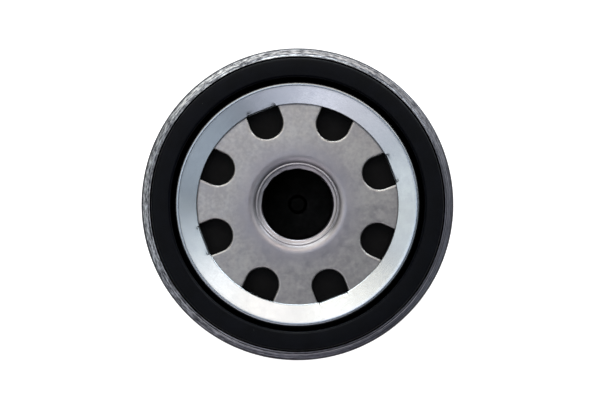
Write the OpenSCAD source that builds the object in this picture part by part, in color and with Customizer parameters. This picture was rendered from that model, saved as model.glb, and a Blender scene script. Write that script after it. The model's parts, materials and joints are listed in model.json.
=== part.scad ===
// Spin-on engine oil filter: steel can, double-seamed lid, tapping plate, gasket, drain valve,
// pleated element with its bypass valve, and support spring.
// Millimetres. +Z runs along the axis towards the threaded end; z = 0 is the foot of the closed end.

/* [Overall] */
// Height from the foot of the can to the top of the free gasket
height = 93; // [90:0.5:96]
// Diameter over the rolled seam, the widest place
seam_d = 76; // [75.6:0.1:76.4]
// Thickness of the can's drawn sheet
can_sheet = 0.38; // [0.34:0.01:0.38]
// Thickness of the seaming lid's sheet
lid_sheet = 0.45; // [0.42:0.01:0.45]

/* [Can] */
// Radius of the bend between the wall and the closed end
corner_r = 8; // [7:0.5:9]
// Radius of the recess in the closed end
recess_r = 14; // [12:1:18]
// Depth of that recess
recess_h = 1.2; // [0.8:0.1:1.4]
// How many flats a cap wrench grips
wrench_flats = 15; // [14:1:15]
// Distance from the axis to a flat, at the middle of its height
flat_r = 35.9; // [35.8:0.1:36.2]
// Lean of each flat towards the closed end
flat_lean = 4; // [3:0.5:5]

/* [Gasket and lid] */
// Outer diameter of the gasket
gasket_od = 71; // [70.6:0.1:71.2]
// Inner diameter of the gasket
gasket_id = 62; // [61.6:0.1:62.4]
// Height of the gasket's section
gasket_h = 5; // [4.6:0.1:5.2]
// Outer diameter of the lid's raised ring
ring_od = 59.9; // [59.6:0.1:60.2]
// Diameter of the opening in the middle of the ring
ring_id = 49; // [48.6:0.2:49.4]
// Slope of the ring towards the axis
ring_slope = 15; // [13:0.5:16]
// Width of each locking tab
tab_w = 7.2; // [6.4:0.2:7.4]

/* [Tapping plate] */
// Thickness of the plate
plate_t = 3; // [2.8:0.1:3.2]
// Minor diameter of the thread, 3/4-16 UNF
thread_d = 17.46; // [17.4:0.01:17.5]
// Outer diameter of the drawn neck that carries the thread
neck_d = 22.4; // [22:0.1:22.6]
// Length of the neck below the plate
neck_l = 8; // [7:0.5:8]
// How many oil inlets are stamped in the plate
inlets = 8; // [8]
// Width of each inlet
inlet_w = 8.15; // [7.8:0.05:8.2]
// Distance from the axis to the centre of an inlet's round end
inlet_r = 21.4; // [21:0.1:21.6]
// Turn of the first inlet from +X
inlet_turn = 21; // [0:1:44]

/* [Element] */
// How many pleats the paper has
pleats = 54; // [48:1:58]
// Outer radius of the pleats
pleat_ro = 31.4; // [31:0.1:31.4]
// Inner radius of the pleats
pleat_ri = 17; // [16.6:0.1:17.4]
// Thickness of the paper
paper_t = 0.5; // [0.4:0.05:0.5]
// Outer radius of the centre tube
tube_r = 16; // [15.8:0.1:16]
// Thickness of the end caps and of the centre tube
cap_sheet = 0.5; // [0.4:0.05:0.5]

/* [Springs] */
// Wire of the support spring
support_wire = 1.8; // [1.6:0.1:1.9]
// Turns of the support spring, its two dead ends included
support_turns = 3.5; // [3.25:0.25:3.75]
// Wire of the bypass spring
bypass_wire = 0.9; // [0.8:0.05:1]
// Turns of the bypass spring, its two dead ends included
bypass_turns = 7; // [6:0.5:7.5]

/* [Hidden] */
$fn = 96;

// A gap that keeps two pressed parts apart, and a running clearance
gap = 0.02;
running = 0.05;

// Levels of the threaded end, counted down from the gasket
groove_z = height - gasket_h;
lid_under_z = groove_z - lid_sheet;
plate_z = height - 4.4;
plate_under_z = plate_z - plate_t;
neck_z = plate_under_z - neck_l;
seam_top_z = height - 1.3;
seam_low_z = height - 5.4;

// Radii at the middle of each layer of the double seam, from the outside in
seam_r = seam_d / 2;
cover_r = seam_r - lid_sheet / 2;
body_hook_r = cover_r - lid_sheet / 2 - gap - can_sheet / 2;
cover_hook_r = body_hook_r - can_sheet / 2 - gap - lid_sheet / 2;
can_r = cover_hook_r - lid_sheet / 2 - gap - can_sheet / 2;
chuck_r = can_r - can_sheet / 2 - gap - lid_sheet / 2;

// Bends of the seam: the lid's over the top, the body hook's under it, the cover hook's below
lid_bend_r = (cover_r - chuck_r) / 2;
seam_mid_r = (cover_r + chuck_r) / 2;
lid_bend_z = seam_top_z - lid_sheet / 2 - lid_bend_r;
body_bend_r = (body_hook_r - can_r) / 2;
body_bend_z = lid_bend_z - 0.5;
hook_bend_r = (cover_r - cover_hook_r) / 2;
hook_bend_z = seam_low_z + lid_sheet / 2 + hook_bend_r;
hook_play = 0.25;

// The lid's ring: a cone up from its opening, a rounded crest and a wall down into the groove
ring_wall_r = ring_od / 2 - lid_sheet / 2;
crest_r = 1.1;
cone_start = [ring_id / 2, plate_z + gap + lid_sheet / 2 / cos(ring_slope)];
crest_c = [ring_wall_r - crest_r, cone_start.y
    + (ring_wall_r - crest_r - crest_r * sin(ring_slope) - cone_start.x) * tan(ring_slope)
    - crest_r * cos(ring_slope)];
groove_bend = 0.8;
floor_z = groove_z - lid_sheet / 2;
relief_w = 0.5;
relief_l = 1;
tab_reach = 0.3;
tab_l = 2.3;

// The end of the can
flat_mid_z = 9;
flat_cut = 30;
split_z = 60;

// Levels of the element
cap_z = height - 12.5;
cap_skirt = 4;
potting_t = 1.2;
end_z = 13.7;
media_top_z = cap_z - cap_sheet - potting_t;
media_low_z = end_z + cap_sheet + potting_t;
cap_r = 32.25;
cap_bend = 0.6;
collar_r = 13;
collar_l = 2;
potting_r = 31.6;
bottom_hole_r = 10;

// Drain valve
valve_t = 1.3;
valve_lip_r = 33.2;
valve_shoulder_r = 15.2;

// Holes of the centre tube
tube_rows = 7;
tube_columns = 12;
tube_hole_d = 4.4;

// Bypass valve, from the bottom cap up
seat_t = 0.7;
seat_rim_r = 12.4;
seat_hole_r = 6;
seat_lip_z = end_z + cap_sheet + 1.55;
cage_t = 0.6;
cage_wall_r = 9.9;
cage_top_z = end_z + 17.3;
cage_windows = 4;
window_w = 8;
stem_r = 2.45;
seal_t = 1;
disc_t = 0.8;
disc_r = 8.6;
boss_r = 4.4;
boss_h = 0.8;
disc_z = seat_lip_z + seal_t;
bypass_spring_r = 4.8;

// Support spring and its cup
support_r = 17;
cup_wall_r = support_r - support_wire / 2 - 0.8;
cup_depth = 2.2;
cup_hole_r = 8;
coil_steps = 20;
wire_sides = 8;

steel = [0.62, 0.61, 0.60];
zinc = [0.74, 0.79, 0.83];
tinned = [0.72, 0.71, 0.66];
black = [0.06, 0.06, 0.065];

// Points along an arc about c, from angle a to angle b
function arc(c, r, a, b, n = 6) =
    [for (i = [0:n]) c + r * [cos(a + (b - a) * i / n), sin(a + (b - a) * i / n)]];

function reversed(list) = [for (i = [len(list) - 1:-1:0]) list[i]];
function unit(v) = v / norm(v);
function left_of(v) = [-v.y, v.x];

// A path moved sideways by d, with mitred corners
function shifted(path, d) = let (last = len(path) - 1)
    [for (i = [0:last])
        let (before = unit(path[max(i, 1)] - path[max(i, 1) - 1]),
            after = unit(path[min(i, last - 1) + 1] - path[min(i, last - 1)]))
        path[i] + d * (left_of(before) + left_of(after)) / (1 + before * after)];

// Outline of a bent sheet of thickness t whose middle follows the path
function sheet(path, t) = concat(shifted(path, t / 2), reversed(shifted(path, -t / 2)));

module turned(outline) {
    rotate_extrude() polygon(outline);
}

module around(count, first = 0) {
    for (i = [0:count - 1]) rotate(first + i * 360 / count) children();
}

// Height of a spring's wire after u turns: one dead turn at each end, even pitch between them
function coil_z(u, turns, wire, rise) =
    let (dead = 1.15 * wire, pitch = (rise - 2 * dead) / (turns - 2))
    u < 1 ? u * dead : u > turns - 1 ? rise - (turns - u) * dead : dead + (u - 1) * pitch;

module coil(r, wire, turns, low_z, top_z) {
    rings = round(turns * coil_steps);
    points = [for (i = [0:rings]) let (u = i / coil_steps)
        for (j = [0:wire_sides - 1]) let (a = j * 360 / wire_sides, out = r + wire / 2 * cos(a))
            [out * cos(u * 360), out * sin(u * 360), low_z + wire / 2 * (1 + sin(a))
                + coil_z(u, turns, wire, top_z - low_z - wire)]];
    sides = [for (i = [0:rings - 1], j = [0:wire_sides - 1]) let (k = (j + 1) % wire_sides)
        [i * wire_sides + j, i * wire_sides + k, (i + 1) * wire_sides + k, (i + 1) * wire_sides + j]];
    ends = [[for (j = [wire_sides - 1:-1:0]) j], [for (j = [0:wire_sides - 1]) rings * wire_sides + j]];
    polyhedron(points, concat(sides, ends));
}

// Middle of the can's sheet from the axis to the open wall
can_path = concat(
    [[0, recess_h + can_sheet / 2], [recess_r - 2 * recess_h, recess_h + can_sheet / 2],
        [recess_r, can_sheet / 2]],
    arc([can_r - corner_r, corner_r + can_sheet / 2], corner_r, -90, 0),
    [[can_r, split_z]]);

// The closed end as a solid form: side -1 is its outside, side 1 its inside
module can_form(side) {
    difference() {
        turned(concat(shifted(can_path, side * can_sheet / 2), [[0, split_z]]));
        around(wrench_flats)
            translate([flat_r, 0, flat_mid_z]) rotate([0, flat_lean, 0])
                translate([-(side + 1) / 2 * can_sheet, -flat_cut / 2, -flat_cut])
                    cube([flat_cut, flat_cut, 2 * flat_cut]);
    }
}

module can() {
    color(black) {
        difference() {
            can_form(-1);
            can_form(1);
        }
        turned(sheet(concat([[can_r, split_z]],
            arc([seam_mid_r, body_bend_z], body_bend_r, 180, 0),
            [[body_hook_r, hook_bend_z + hook_play]]), can_sheet));
    }
}

// Middle of the lid's sheet, from its opening over the ring, along the groove and round the seam
lid_path = concat(
    [cone_start],
    arc(crest_c, crest_r, 90 + ring_slope, 0),
    arc([ring_wall_r + groove_bend, floor_z + groove_bend], groove_bend, 180, 270),
    arc([chuck_r - groove_bend, floor_z + groove_bend], groove_bend, 270, 360),
    arc([seam_mid_r, lid_bend_z], lid_bend_r, 180, 0),
    arc([cover_r - hook_bend_r, hook_bend_z], hook_bend_r, 0, -180),
    [[cover_hook_r, body_bend_z - hook_play]]);

// A tab runs on from the middle of the cone's sheet and is bent straight down into an inlet
module locking_tab() {
    run = tab_reach / cos(ring_slope);
    root = relief_l + 0.4;
    tuck = 0.05;
    translate([ring_id / 2, -tab_w / 2, plate_z + gap]) rotate([0, -ring_slope, 0])
        translate([-run, 0, tuck]) cube([run + root, tab_w, lid_sheet - 2 * tuck]);
    translate([ring_id / 2 - tab_reach, -tab_w / 2, plate_z - tab_l])
        cube([lid_sheet, tab_w, tab_l + lid_sheet / 2]);
}

module seaming_lid() {
    color(zinc) {
        difference() {
            turned(sheet(lid_path, lid_sheet));
            around(4, inlet_turn) for (side = [-1, 1])
                translate([ring_id / 2 - 2, side * (tab_w + relief_w) / 2 - relief_w / 2, plate_z - 1])
                    cube([2 + relief_l, relief_w, 3]);
        }
        around(4, inlet_turn) locking_tab();
    }
}

// The compound fills the room between the lid's bend and the body hook's bend
module seam_compound() {
    low_r = body_bend_r + can_sheet / 2 + 1.5 * gap;
    top_r = lid_bend_r - lid_sheet / 2 - gap;
    color([0.35, 0.32, 0.28])
        turned(concat(arc([seam_mid_r, lid_bend_z], top_r, 150, 30, 4),
            arc([seam_mid_r, body_bend_z], low_r, 30, 150, 4)));
}

module inlet() {
    translate([inlet_r, 0, plate_under_z - 1]) cylinder(d = inlet_w, h = plate_t + 2);
    translate([inlet_r, -inlet_w / 2, plate_under_z - 1]) cube([ring_id, inlet_w, plate_t + 2]);
}

// The plate's metal is drawn down into the neck, so its top runs in over a soft radius
module base_plate() {
    draw_r = 2.8;
    draw_h = 1.2;
    chamfer = 0.8;
    bore_r = thread_d / 2;
    rim_r = ring_od / 2 - lid_sheet - 0.5;
    mouth_r = bore_r + chamfer;
    color(steel) difference() {
        turned(concat(
            [[rim_r, plate_under_z], [rim_r, plate_z - 0.3], [rim_r - 0.3, plate_z]],
            [for (i = [0:6]) [mouth_r + draw_r * (1 - i / 6), plate_z - draw_h * pow(i / 6, 2)]],
            [[bore_r, plate_z - draw_h - chamfer], [bore_r, neck_z + chamfer / 2],
                [bore_r + chamfer / 2, neck_z], [neck_d / 2 - chamfer / 2, neck_z],
                [neck_d / 2, neck_z + chamfer / 2], [neck_d / 2, plate_under_z - 0.6],
                [neck_d / 2 + 0.6, plate_under_z]]));
        around(inlets, inlet_turn) inlet();
    }
}

module gasket() {
    edge = 0.35;
    ro = gasket_od / 2;
    ri = gasket_id / 2;
    color([0.09, 0.09, 0.09])
        turned([[ri, groove_z + edge], [ri + edge, groove_z], [ro - edge, groove_z],
            [ro, groove_z + edge], [ro, height - edge], [ro - edge, height],
            [ri + edge, height], [ri, height - edge]]);
}

// Rubber collar that seals on the neck and on the top cap, with a dish whose lip closes on the lid
module drain_valve() {
    neck_r = neck_d / 2 + running;
    dish_z = cap_z + 2.5;
    bowl_r = ring_od / 2 - 2.5;
    color([0.13, 0.13, 0.14])
        turned([[neck_r, cap_z - 1.2], [collar_r, cap_z - 1.2], [collar_r, cap_z],
            [valve_shoulder_r, cap_z], [valve_shoulder_r, dish_z - 0.1], [bowl_r, dish_z - 0.3],
            [valve_lip_r - 2, dish_z + 2.5], [valve_lip_r, lid_under_z - 0.4],
            [valve_lip_r, lid_under_z], [valve_lip_r - 1, lid_under_z],
            [valve_lip_r - 2.7, dish_z + 3.2], [bowl_r - 0.3, dish_z - 0.3 + valve_t],
            [valve_shoulder_r, dish_z + valve_t], [valve_shoulder_r - 0.6, plate_under_z],
            [neck_r + 0.7, plate_under_z], [neck_r, plate_under_z - 0.6]]);
}

module element_top_cap() {
    z = cap_z - cap_sheet / 2;
    inner_r = collar_r + running + cap_sheet / 2;
    color(tinned)
        turned(sheet(concat([[inner_r, z - collar_l]],
            arc([inner_r + cap_bend, z - cap_bend], cap_bend, 180, 90, 3),
            arc([cap_r - cap_bend, z - cap_bend], cap_bend, 90, 0, 3),
            [[cap_r, z - cap_skirt]]), cap_sheet));
}

module element_bottom_cap() {
    z = end_z + cap_sheet / 2;
    color(tinned)
        turned(sheet(concat([[bottom_hole_r, z]],
            arc([cap_r - cap_bend, z + cap_bend], cap_bend, -90, 0, 3),
            [[cap_r, z + cap_skirt]]), cap_sheet));
}

// Half the paper's thickness as an angle at a radius
function paper_angle(r) = paper_t / 2 / r * 180 / PI;

// One pleat is a fold out and a fold in; grow is 1 on the paper's outer face and -1 on its inner face
function pleat_outline(grow) = let (step = 360 / pleats, ro = pleat_ro - (1 - grow) / 2 * paper_t,
        ri = pleat_ri + (1 + grow) / 2 * paper_t)
    [for (i = [0:pleats - 1], corner = [[ri, -1], [ro, -1], [ro, 1], [ri, 1]])
        let (a = i * step + corner[1] * (step / 4 + grow * paper_angle(corner[0])))
        corner[0] * [cos(a), sin(a)]];

module pleated_media() {
    outside = pleat_outline(1);
    inside = pleat_outline(-1);
    color([0.80, 0.72, 0.52]) translate([0, 0, media_low_z]) linear_extrude(media_top_z - media_low_z)
        polygon(concat(outside, inside), [[for (i = [0:len(outside) - 1]) i],
            [for (i = [0:len(inside) - 1]) len(outside) + i]]);
}

// Folded strip over the pleat that holds the paper's two ends
module media_clip() {
    t = 0.3;
    leg = 3.8;
    half_w = pleat_ro * sin(90 / pleats) + paper_t / 2 + 0.05;
    ends = 0.5;
    color(tinned) translate([pleat_ro + gap, 0, media_low_z + ends]) difference() {
        translate([-leg, -half_w - t, 0])
            cube([leg + t, 2 * (half_w + t), media_top_z - media_low_z - 2 * ends]);
        translate([-leg - 1, -half_w, -1]) cube([leg + 1, 2 * half_w, media_top_z - media_low_z]);
    }
}

module centre_tube() {
    length = media_top_z - media_low_z;
    pitch = length / tube_rows;
    color(tinned) difference() {
        translate([0, 0, media_low_z]) cylinder(r = tube_r, h = length);
        translate([0, 0, media_low_z - 1]) cylinder(r = tube_r - cap_sheet, h = length + 2);
        for (row = [0:tube_rows - 1]) around(tube_columns, row % 2 * 180 / tube_columns)
            translate([tube_r - 2, 0, media_low_z + (row + 0.5) * pitch]) rotate([0, 90, 0])
                cylinder(d = tube_hole_d, h = 4, $fn = 16);
    }
}

module potting(low_z, hole_r) {
    color([0.72, 0.33, 0.22]) translate([0, 0, low_z]) difference() {
        cylinder(r = potting_r, h = potting_t);
        translate([0, 0, -1]) cylinder(r = hole_r, h = potting_t + 2);
    }
}

module top_potting() potting(media_top_z, collar_r + 2 * cap_bend);
module bottom_potting() potting(end_z + cap_sheet, seat_rim_r + cap_bend);

module bypass_seat() {
    z = end_z + cap_sheet + seat_t / 2;
    lip_r = seat_hole_r + seat_t / 2;
    bend = 0.9;
    color(tinned)
        turned(sheet(concat([[seat_rim_r, z], [lip_r + bend + 0.1, z]],
            arc([lip_r + bend, z + bend], bend, -100, -180, 3),
            [[lip_r, seat_lip_z]]), seat_t));
}

module bypass_cage() {
    z = end_z + cap_sheet + seat_t + cage_t / 2;
    top_z = cage_top_z - cage_t / 2;
    bend = 1;
    band = 3;
    guide_r = stem_r + 0.07;
    color(tinned) difference() {
        turned(sheet(concat([[seat_rim_r, z], [cage_wall_r, z]],
            arc([cage_wall_r - bend, top_z - bend], bend, 0, 90, 3), [[guide_r, top_z]]), cage_t));
        around(cage_windows) translate([guide_r + 4, -window_w / 2, z + band])
            cube([cage_wall_r, window_w, cage_top_z - z - 2 * band]);
    }
}

module bypass_poppet() {
    top_z = disc_z + disc_t;
    tip_z = cage_top_z + 3;
    tip = 0.6;
    shoulder_r = bypass_spring_r - bypass_wire / 2 - 0.75;
    color(steel) turned([[0, disc_z - boss_h], [boss_r, disc_z - boss_h], [boss_r, disc_z],
        [disc_r, disc_z], [disc_r, top_z], [shoulder_r, top_z], [shoulder_r, top_z + 1.2],
        [stem_r, top_z + 1.7], [stem_r, tip_z - tip], [stem_r - tip, tip_z], [0, tip_z]]);
}

module bypass_seal() {
    color([0.1, 0.1, 0.1]) translate([0, 0, seat_lip_z]) difference() {
        cylinder(r = disc_r - 0.2, h = seal_t);
        translate([0, 0, -1]) cylinder(r = boss_r + running, h = seal_t + 2);
    }
}

module bypass_spring() {
    color("silver") coil(bypass_spring_r, bypass_wire, bypass_turns,
        disc_z + disc_t + gap, cage_top_z - cage_t - gap);
}

module support_spring() {
    color("gray") coil(support_r, support_wire, support_turns, can_sheet + gap, end_z - cap_sheet - gap);
}

// The cup is fixed under the bottom cap, and the spring's upper turn sits round it
module spring_cup() {
    z = end_z - cap_sheet / 2;
    low_z = z - cup_depth;
    rim_r = support_r + 2.2;
    shoulder = 0.4;
    color(tinned)
        turned(sheet(concat([[rim_r, z], [cup_wall_r + shoulder, z], [cup_wall_r, z - shoulder]],
            arc([cup_wall_r - cap_bend, low_z + cap_bend], cap_bend, 0, -90, 3),
            [[cup_hole_r, low_z]]), cap_sheet));
}

can();
seaming_lid();
seam_compound();
base_plate();
gasket();
drain_valve();
element_top_cap();
element_bottom_cap();
pleated_media();
media_clip();
centre_tube();
top_potting();
bottom_potting();
bypass_seat();
bypass_cage();
bypass_poppet();
bypass_seal();
bypass_spring();
support_spring();
spring_cup();
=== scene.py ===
# %% [markdown]
# # A spin-on oil filter, lesson in cells
#
# The filter stands on its closed end with the threaded end up, and the camera looks straight
# down on it. The frame brings in the measured parts: every piece below is built around them, in
# metres and in the same place, so nothing has to be fitted by eye.

import json
import math

import bmesh
import bpy
import numpy as np
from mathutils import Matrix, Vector

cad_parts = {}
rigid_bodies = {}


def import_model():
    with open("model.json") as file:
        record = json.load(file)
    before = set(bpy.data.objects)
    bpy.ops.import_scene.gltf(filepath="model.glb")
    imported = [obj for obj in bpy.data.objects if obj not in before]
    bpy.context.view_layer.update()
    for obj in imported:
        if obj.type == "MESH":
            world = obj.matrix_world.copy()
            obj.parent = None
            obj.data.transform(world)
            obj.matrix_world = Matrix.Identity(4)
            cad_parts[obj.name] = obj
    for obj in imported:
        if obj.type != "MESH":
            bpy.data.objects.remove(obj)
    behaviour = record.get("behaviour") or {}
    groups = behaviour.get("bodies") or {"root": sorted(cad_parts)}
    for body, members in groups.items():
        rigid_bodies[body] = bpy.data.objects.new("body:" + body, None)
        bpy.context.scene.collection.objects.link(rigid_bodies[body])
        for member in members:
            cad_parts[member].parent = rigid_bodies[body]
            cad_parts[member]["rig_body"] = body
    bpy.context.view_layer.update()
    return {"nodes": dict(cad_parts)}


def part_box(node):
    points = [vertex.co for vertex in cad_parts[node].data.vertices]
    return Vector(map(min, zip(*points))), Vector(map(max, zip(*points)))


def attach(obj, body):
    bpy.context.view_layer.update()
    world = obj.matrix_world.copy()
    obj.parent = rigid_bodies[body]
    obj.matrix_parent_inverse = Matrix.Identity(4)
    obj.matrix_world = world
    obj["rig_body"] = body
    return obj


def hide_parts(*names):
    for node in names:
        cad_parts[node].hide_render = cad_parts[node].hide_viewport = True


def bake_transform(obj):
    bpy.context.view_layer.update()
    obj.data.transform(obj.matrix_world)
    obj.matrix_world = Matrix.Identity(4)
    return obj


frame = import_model()
nodes = frame["nodes"]
MM = 0.001


def reach(node):
    """Outer radius, lowest and highest level of a part, in millimetres."""
    low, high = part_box(node)
    return high.x / MM, low.z / MM, high.z / MM


seam_r, seam_low, seam_top = reach("seaming_lid")
plate_r, neck_low, plate_top = reach("base_plate")
gasket_r, groove, top = reach("gasket")
print(f"seam radius {seam_r:.2f}, plate top {plate_top:.2f}, gasket top {top:.2f} mm")

# %% [markdown]
# ## Numbers and nodes
#
# Colours are written as sRGB hex values, the way a paint chart gives them, and one function turns
# them into the linear numbers that light is added up in. A second small function adds a shader
# node, so a material reads as a list of what it does. A name with a capital letter fills one of
# the node's inputs, a small one sets an option, and inputs that share a name go by their number.
# Four nodes come back all the time. TexNoise is a blotchy pattern, and its scale is one over the
# size of its blots. MapRange stretches the part of a pattern between inputs 1 and 2 over 0 to 1,
# or over 3 to 4. Mix goes from one value or colour to the other, and Bump raises the surface.

# %% Colour and node helpers


def linear(code):
    """An sRGB hex colour as linear RGBA."""
    parts = [int(code[i : i + 2], 16) / 255 for i in (1, 3, 5)]
    return (*[c / 12.92 if c <= 0.04045 else ((c + 0.055) / 1.055) ** 2.4 for c in parts], 1.0)


def add(tree, kind, inputs=None, output=0, **named):
    """Add a node, set its options, fill or link its inputs, and return one of its outputs."""
    node = tree.nodes.new("ShaderNode" + kind)
    filled = dict(inputs or {})
    for name, value in named.items():
        if name[0].isupper():
            filled[name.replace("_", " ")] = value
        else:
            setattr(node, name, value)
    for name, value in filled.items():
        if isinstance(value, bpy.types.NodeSocket):
            tree.links.new(value, node.inputs[name])
        else:
            node.inputs[name].default_value = linear(value) if isinstance(value, str) else value
    return node.outputs[output]


def finish_of(name, **sockets):
    """A new material whose surface is one Principled shader, its nodes, and that shader."""
    material = bpy.data.materials.new(name)
    material.use_nodes = True
    tree = material.node_tree
    tree.nodes.clear()
    shader = add(tree, "BsdfPrincipled", **sockets)
    output = tree.nodes.new("ShaderNodeOutputMaterial")
    tree.links.new(shader, output.inputs["Surface"])
    return material, tree, shader.node


def wear(tree, shader, color, roughness, height, depth):
    """Link a colour, a roughness and a relief of up to `depth` millimetres to the shader."""
    relief = add(tree, "Bump", Height=height, Distance=depth * MM, Strength=1.0)
    tree.links.new(color, shader.inputs["Base Color"])
    tree.links.new(roughness, shader.inputs["Roughness"])
    tree.links.new(relief, shader.inputs["Normal"])


print("mid grey is", [round(c, 3) for c in linear("#808080")])

# %% [markdown]
# ## Patterns that follow a turned part
#
# Rollers, lathes and seaming heads leave marks that run round the axis. A noise read at
# (x / r, y / r, radius + height) does that without a seam: it changes slowly along the circle
# and quickly across it. The radius itself also tells a material where on the part it is. Every
# pattern is read at the point on the piece, in metres, so it stays put when the piece moves.

# %% Coordinates round the axis


def radius(tree, point):
    """Distance from the filter's axis, in millimetres."""
    flat = add(tree, "VectorMath", {0: point, 1: (1 / MM, 1 / MM, 0)}, operation="MULTIPLY")
    return add(tree, "VectorMath", {0: flat}, output=1, operation="LENGTH")


def round_the_axis(tree, point, along, across):
    """Coordinates for marks about `along` mm long round a 30 mm circle and `across` mm wide."""
    flat = add(tree, "VectorMath", {0: point, 1: (1, 1, 0)}, operation="MULTIPLY")
    way = add(tree, "VectorMath", {0: flat}, operation="NORMALIZE")
    stretched = add(tree, "VectorMath", {0: way, 3: 30 / along}, operation="SCALE")
    height = add(tree, "SeparateXYZ", {0: point}, output=2)
    inputs = {0: height, 1: 1 / MM, 2: radius(tree, point)}
    out = add(tree, "Math", inputs, operation="MULTIPLY_ADD")
    width = add(tree, "Math", {0: out, 1: 1 / across}, operation="MULTIPLY")
    aside = add(tree, "CombineXYZ", {2: width})
    return add(tree, "VectorMath", {0: stretched, 1: aside}, operation="ADD")


# %% [markdown]
# ## Zinc-plated steel
#
# The lid is cold-rolled strip, zinc plated and blue passivated. The plating gives a fine satin
# with a cool cast. The ring's outer crest beside the gasket is darkened with painted shade. A
# seaming roller has run over the outer edge, so the plating there is scuffed: short grains where
# it pressed hard, on one side, and fine lines along the circle on the other. The grained side is
# also painted lighter, a painted highlight, and the edge's outermost half millimetre is darkened
# with painted shade.

# %% Zinc finish
# Radii in mm; the ring's outer crest is darkened with painted shade between the first pair
GREASE_FROM, GREASE_TO = 29.1, 29.95
SEAM_FROM, SEAM_TO = 35.7, 36.0
# Radii of the seam's outermost edge, darkened with painted shade
MIST_FROM, MIST_TO = 37.45, 37.75


def make_zinc():
    metal, tree, shader = finish_of("zinc_plate_passivated", Metallic=1.0)
    point = add(tree, "TexCoord", output=3)
    out = radius(tree, point)
    mottle = add(tree, "TexNoise", Vector=point, Scale=1 / (2.2 * MM), Detail=3.0, Roughness=0.55)
    share = add(tree, "MapRange", {0: mottle, 1: 0.35, 2: 0.65})
    base = add(tree, "Mix", {0: share, 6: "#c6ced7", 7: "#cbd3db"}, 2, data_type="RGBA")
    # Painted shade: the crest beside the gasket's groove turns near black
    share = add(tree, "MapRange", {0: out, 1: GREASE_FROM, 2: GREASE_TO})
    greased = add(tree, "Mix", {0: share, 6: base, 7: "#22262b"}, 2, data_type="RGBA")
    # Grains 1.3 mm long and 0.26 mm wide, lines 16 mm long and 0.14 mm wide
    marks = [
        add(tree, "TexNoise", Vector=round_the_axis(tree, point, along, across), Scale=1.0,
            Detail=4.0, Roughness=0.65)
        for along, across in ((1.3, 0.26), (16.0, 0.14))
    ]
    # The upper-left side, where the grains are, is also painted lighter: a painted highlight
    side = add(tree, "VectorMath", {0: point, 1: (-0.77, 0.64, 0)}, 1, operation="DOT_PRODUCT")
    pressed = add(tree, "MapRange", {0: side, 1: -0.028, 2: 0.02})
    share = add(tree, "MapRange", {0: pressed, 1: 0, 2: 1, 3: 0.75, 4: 0.35})
    streaks = add(tree, "Mix", {0: share, 2: marks[0], 3: marks[1]})
    scuffs = add(tree, "MapRange", {0: streaks, 1: 0.42, 2: 0.59})
    in_seam = add(tree, "MapRange", {0: out, 1: SEAM_FROM, 2: SEAM_TO})
    # Painted highlight: the seam's colour is lighter on the upper-left side
    bright = add(tree, "Mix", {0: pressed, 6: "#93939d", 7: "#d9dee6"}, 2, data_type="RGBA")
    worn = add(tree, "Mix", {0: scuffs, 6: "#55565e", 7: bright}, 2, data_type="RGBA")
    # Painted shade on the seam's outer edge
    share = add(tree, "MapRange", {0: out, 1: MIST_FROM, 2: MIST_TO})
    misted = add(tree, "Mix", {0: share, 6: worn, 7: "#4b4a50"}, 2, data_type="RGBA")
    color = add(tree, "Mix", {0: in_seam, 6: greased, 7: misted}, 2, data_type="RGBA")
    fine = add(tree, "TexNoise", Vector=point, Scale=1 / (0.5 * MM), Detail=3.0, Roughness=0.55)
    satin = add(tree, "MapRange", {0: fine, 1: 0.3, 2: 0.7, 3: 0.21, 4: 0.26})
    dulled = add(tree, "MapRange", {0: scuffs, 1: 0, 2: 1, 3: 0.50, 4: 0.32})
    rough = add(tree, "Mix", {0: in_seam, 2: satin, 3: dulled})
    grain = add(tree, "TexNoise", Vector=point, Scale=1 / (0.25 * MM), Detail=3.0, Roughness=0.55)
    cut = add(tree, "Math", {0: streaks, 1: in_seam}, operation="MULTIPLY")
    relief = add(tree, "Math", {0: cut, 1: 4.0, 2: grain}, operation="MULTIPLY_ADD")
    wear(tree, shader, color, rough, relief, 0.004)
    return metal


zinc = make_zinc()
print("made", zinc.name)

# %% [markdown]
# ## Oiled steel plate
#
# The tapping plate is thick hot-rolled strip, pickled and oiled, then blanked and tapped. It is a
# warmer, duller grey than the lid, with faint clouds where the oil lies, a fine rolled grain, and
# a colour that turns slightly darker and violet towards the neck.

# %% Plate finish


def make_plate_steel():
    metal, tree, shader = finish_of("pickled_oiled_steel", Metallic=1.0)
    point = add(tree, "TexCoord", output=3)
    wide = add(tree, "TexNoise", Vector=point, Scale=1 / (7.0 * MM), Detail=4.0, Roughness=0.55)
    fine = add(tree, "TexNoise", Vector=point, Scale=1 / (0.9 * MM), Detail=3.0, Roughness=0.55)
    clouds = add(tree, "Mix", {0: 0.5, 2: wide, 3: fine})
    share = add(tree, "MapRange", {0: clouds, 1: 0.4, 2: 0.6})
    base = add(tree, "Mix", {0: share, 6: "#adaaac", 7: "#c3c1bf"}, 2, data_type="RGBA")
    # Slightly darker and violet towards the neck
    drawn = add(tree, "MapRange", {0: radius(tree, point), 1: 17.0, 2: 12.0, 3: 0, 4: 0.75})
    color = add(tree, "Mix", {0: drawn, 6: base, 7: "#aaa7b0"}, 2, data_type="RGBA")
    oil = add(tree, "TexNoise", Vector=point, Scale=1 / (1.6 * MM), Detail=3.0, Roughness=0.55)
    oily = add(tree, "MapRange", {0: oil, 1: 0.3, 2: 0.7, 3: 0.31, 4: 0.42})
    rolled = add(tree, "Mapping", Vector=point, Scale=(1.0, 0.28, 1.0))
    grain = add(tree, "TexNoise", Vector=rolled, Scale=1 / (0.35 * MM), Detail=4.0, Roughness=0.55)
    wear(tree, shader, color, oily, grain, 0.009)
    return metal


plate_steel = make_plate_steel()
print("made", plate_steel.name)

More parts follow.
